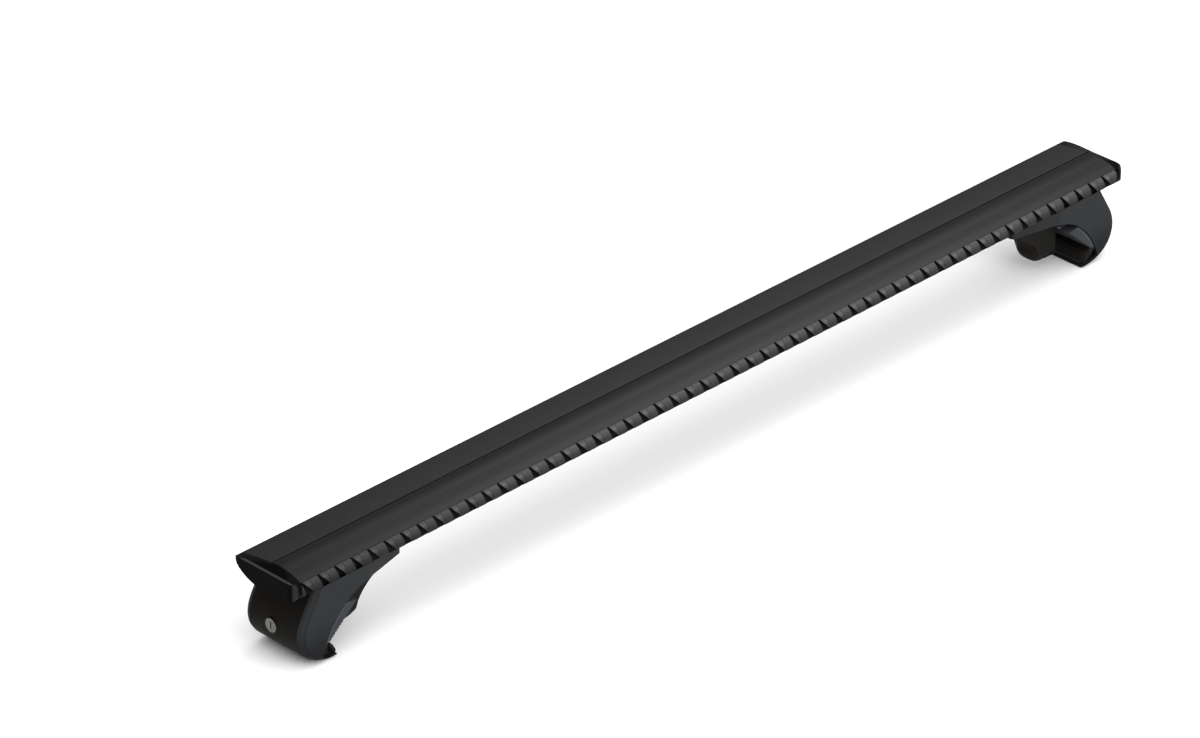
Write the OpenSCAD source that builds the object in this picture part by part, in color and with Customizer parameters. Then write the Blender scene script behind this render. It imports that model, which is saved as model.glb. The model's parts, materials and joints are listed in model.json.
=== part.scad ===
/* [Bar] */
// Length of the whole bar over both end caps
bar_l = 1200; // [900:10:1500]
// Width of the wing section, front to back
wing_w = 84; // [76:1:96]
// Height of the wing section
wing_t = 30; // [28:0.5:34]
// Height of the underside of the bar above the ground
bar_z = 80; // [78:1:90]
// Wall of the aluminium extrusion
bar_wall = 2.2; // [1.8:0.1:3]
// Depth of the fine groove along the middle of the top
crease_d = 0.7; // [0.3:0.1:1.2]

/* [Slot under the bar] */
// Width of the mouth of the slot
slot_mouth = 9; // [8:0.5:11]
// Inner width of the slot
slot_w = 22; // [18:1:24]
// Inner height of the slot
slot_h = 8; // [7:0.5:9]
// Thickness of the lips beside the mouth
slot_lip = 3; // [2.5:0.5:4]

/* [Wind strip] */
// Thickness of the strip in front of the nose
strip_d = 5; // [4:0.5:6]
// Distance from one tooth to the next
tooth_pitch = 21.8; // [18:0.2:30]
// Width of the scooped step between two teeth
scoop_w = 11; // [6:0.5:12]
// Depth of the scooped step at its deep side
scoop_d = 1.8; // [1:0.1:2.4]
// Width of the wedge notch at the lower edge
notch_w = 10; // [4:0.5:11]
// Width of the wedge notch at the upper edge
notch_top = 2.3; // [0:0.1:3]
// Depth of the wedge notch
notch_d = 4.2; // [2:0.1:4.4]
// Lean of the teeth off the vertical
tooth_lean = 24; // [10:1:30]

/* [End caps] */
// Length of the cap outside the extrusion
cap_l = 11; // [8:1:16]
// Depth of the cap's plugs in the extrusion
plug_l = 18; // [10:1:30]
// Clearance of the plugs in the chambers
plug_gap = 0.15; // [0.1:0.05:0.3]

/* [Foot] */
// Half width of the foot over its shell
foot_hw = 40.5; // [38:0.5:42]
// Distance of the foot's outboard bulge from the end of the bar
foot_in = 8.6; // [8.6:0.2:30]
// Wall of the shell and the cover
shell_wall = 3; // [2.4:0.1:3.4]
// Round of the shell's long edges
shell_r = 7; // [5:0.5:9]
// Distance of the toe's tip inboard of the bulge
toe_u = 148; // [126:1:160]
// Half width of the toe at its tip
toe_hw = 25; // [20:1:30]
// Gap between the foot and the underside of the bar
bar_gap = 0.4; // [0.3:0.1:0.8]
// Gap along the seam between cover and shell
seam_gap = 0.5; // [0.4:0.1:0.8]
// Side clearance of the inner block in the shell
block_gap = 0.1; // [0.05:0.05:0.4]

/* [Support block] */
// Half width of the knee
knee_hw = 16.5; // [14:0.5:18]
// Height of the underside of the knee above the ground
knee_z = 17; // [14:0.5:22]
// Round of the knee's lower edges
knee_r = 9; // [3:0.5:11]
// Thickness of the rubber on the knee and the ceiling
pad_t = 3; // [2:0.5:3.5]

/* [Clamp] */
// Slope of the clamp screw
screw_slope = 20; // [18:1:22]
// Travel of the jaw along the screw
jaw_travel = 9; // [6:1:9]
// Diameter of the clamp screw
screw_d = 8; // [6:1:8]
// Radial gap of the screw's thread in the nut
thread_gap = 0.08; // [0.02:0.02:0.1]
// Diameter of the barrel nut
nut_d = 12; // [11:0.5:13]
// Length of the barrel nut
nut_l = 26; // [20:1:28]
// Thickness of the jaw plate
jaw_t = 4.6; // [4:0.2:5]
// Side gap between the jaw and the shell's walls
jaw_gap = 0.6; // [0.4:0.1:1]
// Number of ribs on the face of the jaw pad
rib_n = 13; // [6:1:16]

/* [Lock cover] */
// Half width of the cover's panel
cover_hw = 32.8; // [28:0.2:33]
// Diameter of the hinge pin
pin_d = 3; // [2.5:0.5:3.5]
// Radial gap of the cover's knuckles on the pin
pin_gap = 0.08; // [0.02:0.02:0.1]
// Height of the lock's axis above the ground
lock_z = 37.5; // [36:0.5:38]
// Offset of the lock's axis from the middle
lock_y = 3; // [-6:1:6]
// Diameter of the lock's face
lock_d = 15; // [13:0.5:15]
// Radial gap round the lock's barrel
lock_gap = 0.08; // [0.02:0.02:0.1]
// Length of the cam from the lock's axis
cam_l = 17; // [14:1:19]

/* [Fixings] */
// Diameter of the slot bolts
bolt_d = 6; // [5:1:6]
// Length of the slider in the slot
slider_l = 92; // [70:2:94]
// Thickness of the slider
slider_t = 5; // [4:0.5:6]

/* [Hidden] */
$fn = 48;
e = 0.01;

// Corners of the wing section, y toward the back and z up from the underside
hw = wing_w / 2;
nose_y = -hw + strip_d;
tail_y = hw + 1.4;
tail_z = wing_t - 7.6;
crease_z = wing_t - 1;
crease_y = 0.6;
strip_top_z = wing_t - 7.6;
strip_low_z = 5.8;
alu_l = bar_l - 2 * cap_l;

// Points of a cubic curve, the first one left out when skip is 1
function cubic(a, b, c, d, n, skip = 0) =
    [for (i = [skip:n]) let (t = i / n, s = 1 - t)
        s * s * s * a + 3 * s * s * t * b + 3 * s * t * t * c + t * t * t * d];

// Underside from the nose to the tail, then the top back to the strip
function belly() = concat(
    cubic([nose_y, strip_low_z - 0.8], [nose_y + 9, 1.2], [-14, 0], [-4, 0], 8),
    cubic([-4, 0], [14, 0], [tail_y - 6, 6.5], [tail_y, tail_z - 0.8], 14, 1),
    [[tail_y - 0.2, tail_z - 0.2], [tail_y - 0.9, tail_z]]);
function crown() = concat(
    [[crease_y, crease_z], [crease_y - 0.7, crease_z - crease_d], [crease_y - 1.4, crease_z]],
    cubic([crease_y - 1.4, crease_z], [-9, wing_t + 0.9], [-27, wing_t - 1.4],
        [nose_y - 1.4, wing_t - 6.6], 12, 1));
function alu_outline() = concat(belly(), crown(),
    [[nose_y - 1.6, strip_top_z], [nose_y, strip_top_z]]);
function strip_front() = cubic([nose_y - 1.8, strip_top_z - 0.3], [-hw - 0.2, strip_top_z - 2],
    [-hw - 1.3, 9], [nose_y - 1.2, strip_low_z - 0.6], 12);
function full_outline() = concat(belly(), crown(), strip_front());

// End caps: height of the face's top edge, and where the nose starts to round
cap_top = wing_t - 6;
nose_round = 0.85;

// Root of the wind strip in the nose
root_z = 14;
root_neck = 2.4;
root_head = 5;
root_depth = 4;

// Wall of the slot inside the bar
web_t = 2;

// Foot profile in u, inboard from the end of the bar, and z
bulge_z = 38;
lip_u = foot_in + 48.4;
env_top = bar_z + 22;
hinge_u = foot_in + 21;
hinge_z = bar_z - 5;
function outboard_curve() = concat(
    cubic([foot_in + 24.4, bar_z + 2], [foot_in + 18.4, bar_z - 6],
        [foot_in, bar_z - 24], [foot_in, bulge_z], 12),
    cubic([foot_in, bulge_z], [foot_in, 18], [foot_in + 15.4, 2], [foot_in + 41.4, 0], 12, 1));
function side_outline() = concat([[foot_in + 32, env_top]], outboard_curve(),
    [[lip_u, 0], [foot_in + 96, 50], [foot_in + 96, env_top]]);
function toe_outline() = [[foot_in + 112, env_top], [foot_in + 112, 56],
    [foot_in + toe_u - 4, 60], [foot_in + toe_u, 66], [foot_in + toe_u, env_top]];

// Edge of the rail mouth in the shell's sides
toe_z = 68;
function mouth_curve(t0, t1, n) =
    [for (i = [0:n]) let (t = t0 + (t1 - t0) * i / n, s = 1 - t)
        s * s * s * [foot_in + 103.4, toe_z + 2] + 3 * s * s * t * [foot_in + 75.4, toe_z + 5]
        + 3 * s * t * t * [foot_in + 40.4, 50] + t * t * t * [foot_in + 27.4, 10]];
function shift(pts, d) = [for (p = pts) p + d];
function reversed(pts) = [for (i = [len(pts) - 1:-1:0]) pts[i]];

// Clamp screw: s runs outboard from the nut along the screw
nut_u = foot_in + 65.4;
nut_z = bar_z - 11;
boss_s = 40;
boss_t = 6;
boss_r = 9;
washer_t = 1.6;
head_r = screw_d * 0.8;
head_h = screw_d;
tip_s = -2.5;

// Support block
block_u0 = foot_in + 42.4;
block_u1 = foot_in + toe_u - 7;
block_top = bar_z - 1.7;
flange_z = bar_z - 14.5;
knee_u = foot_in + 72;
knee_u1 = knee_u + 9.4;
web_z = flange_z - 4.5;
inner_hw = foot_hw - shell_wall;
plan_hw = inner_hw - block_gap;
wide_u = foot_in + 88;
jaw_hw = inner_hw - jaw_gap;
hook_hw = foot_hw - shell_r - jaw_gap;
bolt_u = [foot_in + 83, foot_in + toe_u - 20];
bolt_seat = bar_z - 10;
bolt_head_r = bolt_d * 0.85;

// Lock and cover
cover_low_u = foot_in + 15.4;
wall_u = cover_low_u + 3;
wall_t = 2.5;
wall_top = lock_z - 13.5;
cam_u = wall_u + wall_t + 0.8;
cam_t = 2;
sleeve_r = lock_d / 2 + 1.6;
knuckle_r = 4.2;
lug_y = 22;
lug_t = 4;
pin_l = 60;
rib_u = hinge_u + 8.6;
rib_t = 3;

black_alu = [0.22, 0.22, 0.23];
strip_black = [0.3, 0.3, 0.3];
gloss_black = [0.05, 0.05, 0.055];
shell_grey = [0.26, 0.27, 0.28];
cover_black = [0.15, 0.14, 0.13];
rubber_grey = [0.42, 0.45, 0.48];
steel = [0.6, 0.61, 0.62];

// Lays a section drawn in y and z along the bar, from x0 to x1
module along(x0, x1) {
    translate([x0, 0, bar_z]) rotate([90, 0, 90]) linear_extrude(x1 - x0) children();
}

// Stands a profile drawn in u and z across the foot, centred on y
module across(w, y = 0) {
    translate([0, y + w / 2, 0]) rotate([90, 0, 0]) linear_extrude(w) children();
}

// Puts a foot piece, drawn in u, under one end of the bar
module at_foot(side) {
    mirror([side > 0 ? 1 : 0, 0, 0]) translate([-bar_l / 2, 0, 0]) children();
}

// Frame along the clamp screw: +Z runs outboard and down, from the nut
module on_screw(s = 0) {
    translate([nut_u, 0, nut_z]) rotate([0, -90 - screw_slope, 0]) translate([0, 0, s]) children();
}

module slot_box(grow) {
    translate([-slot_w / 2 - grow, slot_lip - grow])
        square([slot_w + 2 * grow, slot_h + 2 * grow]);
}

// The three chambers of the extrusion, with a gap to their walls
module chambers(gap) {
    difference() {
        offset(delta = -bar_wall - gap) polygon(alu_outline());
        translate([0, -gap]) slot_box(web_t + gap);
        for (m = [-1, 1])
            translate([m * (slot_w / 2 + web_t / 2) - web_t / 2 - gap, 0])
                square([web_t + 2 * gap, wing_t]);
        translate([-slot_w / 2 - web_t - gap, -e])
            square([slot_w + 2 * web_t + 2 * gap, slot_lip + e]);
        translate([nose_y, root_z - root_head / 2 - bar_wall - gap])
            square([root_depth + bar_wall + gap, root_head + 2 * bar_wall + 2 * gap]);
    }
}

module strip_root(gap) {
    translate([nose_y - e, root_z - root_neck / 2 - gap])
        square([root_depth, root_neck + 2 * gap]);
    translate([nose_y + root_depth / 2, root_z - root_head / 2 - gap])
        square([root_depth / 2 + gap, root_head + 2 * gap]);
}

module bar_extrusion() {
    color(black_alu) along(-alu_l / 2, alu_l / 2) difference() {
        polygon(alu_outline());
        chambers(0);
        slot_box(0);
        translate([-slot_mouth / 2, -1]) square([slot_mouth, slot_lip + 1 + e]);
        strip_root(0);
    }
}

// Cutter that leans with the teeth, its tip line at the strip's upper edge
module lean(x) {
    translate([x, -hw - 1, bar_z + strip_top_z]) rotate([0, -tooth_lean, 0]) children();
}

module wind_strip() {
    edge_h = strip_top_z - strip_low_z;
    drop = edge_h + 6;
    lean_x = drop * tan(tooth_lean);
    low_w = notch_top + (notch_w - notch_top) * drop / edge_h;
    n = floor(alu_l / tooth_pitch);
    color(strip_black) difference() {
        along(-alu_l / 2, alu_l / 2) union() {
            polygon(concat(strip_front(), [[nose_y, strip_low_z - 0.6], [nose_y, strip_top_z - 0.3]]));
            strip_root(0);
        }
        for (i = [0:n - 1]) {
            x = (i - 0.05 - n / 2) * tooth_pitch;
            lean(x) translate([0, 0, -drop / cos(tooth_lean)]) linear_extrude(drop + 4)
                polygon([[0, -2], [0, scoop_d + 0.4], [scoop_w * cos(tooth_lean), 1.4],
                    [scoop_w * cos(tooth_lean), -2]]);
            translate([x, -hw + notch_d, bar_z + strip_top_z]) rotate([90, 0, 0])
                linear_extrude(notch_d + 4)
                polygon([[0, 0], [lean_x, -drop], [lean_x + low_w, -drop], [notch_top, 0]]);
        }
    }
}

// Outline of the cap seen from above, rounded at the nose and a little at the tail
module cap_plan() {
    x0 = -bar_l / 2;
    polygon(concat([[x0 + cap_l, -wing_w], [x0 + cap_l * nose_round, -hw - 2]],
        cubic([x0 + cap_l * nose_round, -hw - 1.2], [x0 + 2.4, -hw - 1], [x0, -hw + 4],
            [x0, -hw + 12], 12),
        cubic([x0, tail_y - 5], [x0, tail_y - 2], [x0 + 1, tail_y], [x0 + 4, tail_y + 1], 6),
        [[x0 + cap_l, wing_w]]));
}

module end_cap(side) {
    color(gloss_black) mirror([side > 0 ? 1 : 0, 0, 0]) union() {
        intersection() {
            along(-bar_l / 2, -alu_l / 2) polygon(full_outline());
            linear_extrude(2 * bar_z) cap_plan();
            translate([0, wing_w, 0]) rotate([90, 0, 0]) linear_extrude(2 * wing_w)
                polygon([[-bar_l / 2, 0], [-bar_l / 2, bar_z + cap_top],
                    [-bar_l / 2 + 2, bar_z + cap_top + 2], [-alu_l / 2, bar_z + wing_t + 1],
                    [-alu_l / 2, 0]]);
        }
        along(-alu_l / 2, -alu_l / 2 + plug_l) intersection() {
            chambers(plug_gap);
            union() {
                translate([slot_w / 2, 0]) square([wing_w, wing_t]);
                translate([-slot_w / 2 - wing_w, 0]) square([wing_w, wing_t]);
            }
        }
    }
}

// One slice of a profile whose outer face is at y, for the rounded shell
module slice(y) {
    translate([0, y > 0 ? y : y + 0.4, 0]) rotate([90, 0, 0]) linear_extrude(0.4) children();
}

// Rounded outer form of the foot, taken in by inset
module foot_form(inset) {
    r = shell_r - inset;
    hull() for (m = [-1, 1]) for (a = [0, 30, 60, 90]) {
        slice(m * (foot_hw - inset - r * (1 - sin(a))))
            offset(delta = -inset - r * (1 - cos(a))) polygon(side_outline());
        slice(m * (toe_hw - inset - r * (1 - sin(a))))
            offset(delta = -inset - r / 2 * (1 - cos(a))) polygon(toe_outline());
    }
}

// Room taken by the bar above the foot
module bar_room(gap) {
    along(-1, bar_l / 2) union() {
        offset(delta = gap) polygon(full_outline());
        translate([-wing_w, wing_t / 2]) square([2 * wing_w, wing_t]);
    }
}

// The lock cover's part of the profile, outboard of the seam
module cover_zone() {
    polygon(concat([[-5, -5], [-5, hinge_z + 2], [hinge_u - 3.6, hinge_z + 2],
        [hinge_u, hinge_z]],
        cubic([hinge_u, hinge_z - knuckle_r], [foot_in + 10.4, 60], [foot_in + 8.4, 28],
            [cover_low_u, 14], 12),
        [[cover_low_u, -5]]));
    translate([hinge_u, hinge_z]) circle(r = knuckle_r);
}

module mouth() {
    polygon(concat(mouth_curve(0, 1, 24),
        [[foot_in + 29.4, 6.4], [foot_in + 33.4, shell_wall], [lip_u, shell_wall],
        [lip_u, -5], [foot_in + toe_u + 20, -5], [foot_in + toe_u + 20, toe_z],
        [foot_in + toe_u, toe_z]]));
}

// Cylinder on the axis of the cover's hinge
module on_hinge(r, l) {
    translate([hinge_u, 0, hinge_z]) rotate([90, 0, 0]) cylinder(r = r, h = l, center = true);
}

// Two plates of the shell that hold the hinge pin, grown by a gap
module hinge_lugs(gap) {
    for (m = [-1, 1]) across(lug_t + 2 * gap, m * lug_y) union() {
        translate([hinge_u, hinge_z]) circle(r = knuckle_r + gap);
        translate([hinge_u, hinge_z - knuckle_r + 0.2])
            square([rib_u - hinge_u + 1, 2 * knuckle_r - 0.4]);
    }
}

module foot_shell() {
    difference() {
        union() {
            difference() {
                union() {
                    difference() {
                        foot_form(0);
                        foot_form(shell_wall);
                    }
                    intersection() {
                        foot_form(0.5);
                        translate([wall_u, -foot_hw, 0]) cube([wall_t, 2 * foot_hw, wall_top]);
                    }
                }
                across(2 * (cover_hw + seam_gap)) offset(delta = seam_gap) cover_zone();
                across(2 * (cover_hw + seam_gap)) translate([-5, hinge_z])
                    square([hinge_u + 5, knuckle_r + 0.3]);
                across(28) translate([-5, hinge_z]) square([hinge_u + 5, bar_z - hinge_z + 3]);
                across(3 * foot_hw) mouth();
            }
            hinge_lugs(0);
            translate([rib_u, -inner_hw - 1, hinge_z - knuckle_r])
                cube([rib_t, 2 * inner_hw + 2, 2 * knuckle_r - 0.2]);
        }
        bar_room(bar_gap);
        on_hinge(pin_d / 2, pin_l);
    }
}

module lock_cover() {
    difference() {
        union() {
            intersection() {
                difference() {
                    foot_form(0);
                    foot_form(shell_wall);
                }
                across(2 * cover_hw) cover_zone();
            }
            intersection() {
                foot_form(0);
                on_hinge(knuckle_r, pin_l);
            }
            intersection() {
                foot_form(0.5);
                translate([0, lock_y, lock_z]) rotate([0, 90, 0])
                    cylinder(r = sleeve_r + 2.4, h = foot_in + 10);
            }
        }
        bar_room(bar_gap + 0.6);
        hinge_lugs(0.4);
        on_hinge(pin_d / 2 + pin_gap, pin_l + 1);
        translate([0, lock_y, lock_z]) rotate([0, 90, 0]) cylinder(r = sleeve_r, h = 60);
    }
}

module hinge_pin() {
    on_hinge(pin_d / 2, pin_l);
}

module on_lock(u) {
    translate([u, lock_y, lock_z]) rotate([0, 90, 0]) children();
}

module lock_sleeve() {
    difference() {
        on_lock(foot_in - 0.2) cylinder(r = sleeve_r, h = 10.2);
        on_lock(foot_in - 1) cylinder(r = lock_d / 2 + lock_gap, h = 4.4);
        on_lock(foot_in) cylinder(r = lock_d / 2 - 1.5 + lock_gap, h = 20);
    }
}

module lock_barrel() {
    difference() {
        union() {
            on_lock(foot_in - 0.1) cylinder(d = lock_d, h = 3.4);
            on_lock(foot_in + 3) cylinder(r = lock_d / 2 - 1.5, h = cam_u - foot_in - 3);
        }
        on_lock(foot_in - 1) translate([-3.6, -0.9, 0]) cube([7.2, 1.8, 9]);
        on_lock(cam_u - 8) cylinder(d = 3, h = 9);
    }
}

module lock_cam() {
    difference() {
        union() {
            on_lock(cam_u) cylinder(r = lock_d / 2 - 1.5, h = cam_t);
            on_lock(cam_u) translate([-4, 0, 0]) cube([8, cam_l, cam_t]);
        }
        on_lock(cam_u - 1) cylinder(d = 3, h = cam_t + 2);
    }
}

module cam_screw() {
    on_lock(cam_u - 8) cylinder(d = 3, h = 8 + cam_t);
    on_lock(cam_u + cam_t) difference() {
        cylinder(d = 5.6, h = 0.9);
        translate([-4, -0.4, 0.4]) cube([8, 0.8, 1]);
    }
}

// Knee seen along the bar, with rounded lower edges
module knee_section() {
    translate([-knee_hw, knee_z + knee_r]) square([2 * knee_hw, bar_z]);
    translate([-knee_hw + knee_r, knee_z]) square([2 * (knee_hw - knee_r), bar_z]);
    for (m = [-1, 1]) translate([m * (knee_hw - knee_r), knee_z + knee_r]) circle(r = knee_r);
}

module knee_profile() {
    polygon(concat(
        [[block_u0, block_top], [block_u0, flange_z + 1.5], [block_u0 + 6, web_z + 1],
        [block_u0 + 12, web_z], [knee_u, web_z], [knee_u, knee_z + 1], [knee_u + 1, knee_z]],
        cubic([knee_u1, knee_z], [knee_u1 + 8, knee_z], [knee_u1 + 13, knee_z + 4],
            [knee_u1 + 14.6, knee_z + 11], 8),
        cubic([knee_u1 + 14.6, knee_z + 11], [knee_u1 + 18, knee_z + 21],
            [block_u1 - 30, toe_z - 16], [block_u1, toe_z - 4], 12, 1),
        [[block_u1, block_top]]));
}

module flange_profile() {
    polygon([[block_u0, block_top], [block_u0, flange_z + 1.5], [block_u0 + 6, flange_z],
        [wide_u - 2, flange_z], [wide_u + 2, bolt_seat], [block_u1, bolt_seat],
        [block_u1, block_top]]);
}

module support_block() {
    difference() {
        union() {
            intersection() {
                across(2 * knee_hw) knee_profile();
                translate([0, 0, 0]) rotate([90, 0, 90]) linear_extrude(bar_l / 2) knee_section();
            }
            intersection() {
                across(2 * plan_hw) flange_profile();
                linear_extrude(env_top) polygon([[block_u0, -plan_hw], [wide_u, -plan_hw],
                    [block_u1, -toe_hw + shell_wall + 2], [block_u1, toe_hw - shell_wall - 2],
                    [wide_u, plan_hw], [block_u0, plan_hw]]);
            }
        }
        translate([nut_u, 0, nut_z]) rotate([90, 0, 0]) cylinder(d = nut_d, h = nut_l, center = true);
        on_screw(-jaw_travel - 3.4) cylinder(r = screw_d / 2 + 0.4, h = 60);
        for (u = bolt_u) {
            translate([u, 0, bolt_seat]) cylinder(d = bolt_d, h = 30);
            translate([u, 0, 0]) cylinder(r = bolt_head_r + 0.3, h = bolt_seat);
        }
    }
}

module bar_gasket() {
    intersection() {
        difference() {
            translate([block_u0 + 2, -inner_hw + 6, block_top])
                cube([block_u1 - block_u0 - 4, 2 * (inner_hw - 6), 6]);
            bar_room(0.3);
            for (u = bolt_u) translate([u, 0, 0]) cylinder(d = bolt_d + 1, h = bar_z + 10);
        }
        linear_extrude(env_top) polygon([[block_u0, -foot_hw], [wide_u - 2, -inner_hw],
            [block_u1, -toe_hw + 6], [block_u1, toe_hw - 6], [wide_u - 2, inner_hw],
            [block_u0, foot_hw]]);
    }
}

// Rubber on the mouth side of the knee and under the flange beside it
module rail_pad() {
    difference() {
        union() {
            intersection() {
                across(2 * knee_hw) translate([knee_u - pad_t, knee_z - pad_t])
                    square([pad_t + knee_u1 - knee_u, web_z - knee_z + pad_t]);
                translate([0, 0, -pad_t]) rotate([90, 0, 90]) linear_extrude(bar_l / 4)
                    knee_section();
            }
            across(2 * knee_hw + 5) translate([knee_u - pad_t, web_z - 8])
                square([pad_t + 2, flange_z - web_z + 8]);
            across(2 * (plan_hw - 1)) translate([knee_u - pad_t, flange_z - pad_t])
                square([pad_t + 12, pad_t]);
        }
        across(2 * knee_hw) knee_profile();
    }
}

module clamp_jaw() {
    front = shift(mouth_curve(0.56, 0.92, 14), [0.5, -0.5]);
    back = shift(mouth_curve(0.56, 0.96, 14), [0.5 - jaw_t * 0.7, jaw_t * 0.7 - 0.5]);
    difference() {
        union() {
            intersection() {
                across(2 * jaw_hw) polygon(concat(front,
                    [[foot_in + 35.4, 18.6], [foot_in + 40, 18], [lip_u - 0.4, 4.4],
                    [lip_u - 1.8, shell_wall + 0.4], [foot_in + 35, shell_wall + 0.6],
                    [foot_in + 29.4, 7.6], [foot_in + 26.4, 11]],
                    reversed(back)));
                rotate([90, 0, 90]) linear_extrude(2 * lip_u) polygon([[-hook_hw, 0], [hook_hw, 0],
                    [hook_hw, shell_wall + 5], [jaw_hw, shell_wall + 15], [jaw_hw, bar_z],
                    [-jaw_hw, bar_z], [-jaw_hw, shell_wall + 15], [-hook_hw, shell_wall + 5]]);
            }
            across(16) polygon(concat([[foot_in + 27, 38], [foot_in + 22.8, 48],
                [foot_in + 29.6, 62.6], [foot_in + 44, 57]],
                shift(mouth_curve(0.6, 0.86, 4), [-0.8, 0.8])));
            on_screw(boss_s) cylinder(r = boss_r, h = boss_t);
        }
        on_screw(boss_s - 22) cylinder(r = screw_d / 2 + 0.4, h = boss_t + 40);
        on_screw(boss_s + boss_t) cylinder(r = boss_r + 3, h = 12);
        on_screw(boss_s - 14) translate([-3 - screw_d, -screw_d / 2 - 0.4, 0])
            cube([screw_d + 3, screw_d + 0.8, 14 + e]);
    }
}

module jaw_pad() {
    back = shift(mouth_curve(0.5, 0.88, 12), [0.6, -0.6]);
    low = [foot_in + 38, 21.5];
    high = [foot_in + 74.4, 53.5];
    step = (high - low) / (rib_n + 1);
    difference() {
        across(2 * (foot_hw - 0.6)) polygon(concat(back, [low, high]));
        for (i = [1:rib_n]) translate([(low + i * step)[0], 0, (low + i * step)[1]])
            rotate([90, 0, 0]) cylinder(r = 0.8, h = 3 * foot_hw, center = true, $fn = 16);
        translate([knee_u - pad_t - jaw_travel - 0.6, -knee_hw - 3, 0])
            cube([30, 2 * knee_hw + 6, bar_z]);
    }
}

module clamp_screw() {
    difference() {
        union() {
            on_screw(tip_s) cylinder(d = screw_d, h = boss_s + boss_t + washer_t - tip_s);
            on_screw(boss_s + boss_t + washer_t) cylinder(r = head_r, h = head_h);
        }
        on_screw(boss_s + boss_t + washer_t + head_h / 2)
            cylinder(r = screw_d * 0.43, h = head_h, $fn = 6);
    }
}

module washer() {
    on_screw(boss_s + boss_t) difference() {
        cylinder(r = screw_d, h = washer_t);
        translate([0, 0, -1]) cylinder(r = screw_d / 2 + 0.3, h = washer_t + 2);
    }
}

module barrel_nut() {
    difference() {
        translate([nut_u, 0, nut_z]) rotate([90, 0, 0]) cylinder(d = nut_d, h = nut_l, center = true);
        on_screw(-nut_d) cylinder(r = screw_d / 2 + thread_gap, h = 2 * nut_d);
    }
}

module slot_slider() {
    difference() {
        translate([foot_in + 42, -slot_w / 2 + 0.5, bar_z + slot_lip + 0.4])
            cube([slider_l, slot_w - 1, slider_t]);
        for (u = bolt_u) translate([u, 0, bar_z]) cylinder(d = bolt_d, h = 30);
    }
}

module slot_bolts() {
    for (u = bolt_u) translate([u, 0, bolt_seat]) {
        difference() {
            union() {
                cylinder(d = bolt_d, h = bar_z + slot_lip + 0.4 + slider_t - bolt_seat);
                translate([0, 0, -bolt_d]) cylinder(r = bolt_head_r, h = bolt_d);
            }
            translate([0, 0, -bolt_d - 1]) cylinder(r = bolt_d * 0.48, h = bolt_d / 2 + 1, $fn = 6);
        }
    }
}

bar_extrusion();
wind_strip();
end_cap(-1);  // left_end_cap
end_cap(1);  // right_end_cap
color(shell_grey) at_foot(-1) foot_shell();  // left_foot_shell
color(cover_black) at_foot(-1) support_block();  // left_support_block
color(rubber_grey) at_foot(-1) bar_gasket();  // left_bar_gasket
color(rubber_grey) at_foot(-1) rail_pad();  // left_rail_pad
color(steel) at_foot(-1) clamp_jaw();  // left_clamp_jaw
color(rubber_grey) at_foot(-1) jaw_pad();  // left_jaw_pad
color(steel) at_foot(-1) clamp_screw();  // left_clamp_screw
color(steel) at_foot(-1) washer();  // left_washer
color(steel) at_foot(-1) barrel_nut();  // left_barrel_nut
color(steel) at_foot(-1) slot_slider();  // left_slot_slider
color(steel) at_foot(-1) slot_bolts();  // left_slot_bolts
color(cover_black) at_foot(-1) lock_cover();  // left_lock_cover
color(steel) at_foot(-1) hinge_pin();  // left_hinge_pin
color(gloss_black) at_foot(-1) lock_sleeve();  // left_lock_sleeve
color(steel) at_foot(-1) lock_barrel();  // left_lock_barrel
color(steel) at_foot(-1) lock_cam();  // left_lock_cam
color(steel) at_foot(-1) cam_screw();  // left_cam_screw
color(shell_grey) at_foot(1) foot_shell();  // right_foot_shell
color(cover_black) at_foot(1) support_block();  // right_support_block
color(rubber_grey) at_foot(1) bar_gasket();  // right_bar_gasket
color(rubber_grey) at_foot(1) rail_pad();  // right_rail_pad
color(steel) at_foot(1) clamp_jaw();  // right_clamp_jaw
color(rubber_grey) at_foot(1) jaw_pad();  // right_jaw_pad
color(steel) at_foot(1) clamp_screw();  // right_clamp_screw
color(steel) at_foot(1) washer();  // right_washer
color(steel) at_foot(1) barrel_nut();  // right_barrel_nut
color(steel) at_foot(1) slot_slider();  // right_slot_slider
color(steel) at_foot(1) slot_bolts();  // right_slot_bolts
color(cover_black) at_foot(1) lock_cover();  // right_lock_cover
color(steel) at_foot(1) hinge_pin();  // right_hinge_pin
color(gloss_black) at_foot(1) lock_sleeve();  // right_lock_sleeve
color(steel) at_foot(1) lock_barrel();  // right_lock_barrel
color(steel) at_foot(1) lock_cam();  // right_lock_cam
color(steel) at_foot(1) cam_screw();  // right_cam_screw
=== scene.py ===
import json
import math

import bmesh
import bpy
from bpy.props import FloatProperty, FloatVectorProperty, PointerProperty
from mathutils import Matrix, Vector


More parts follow.
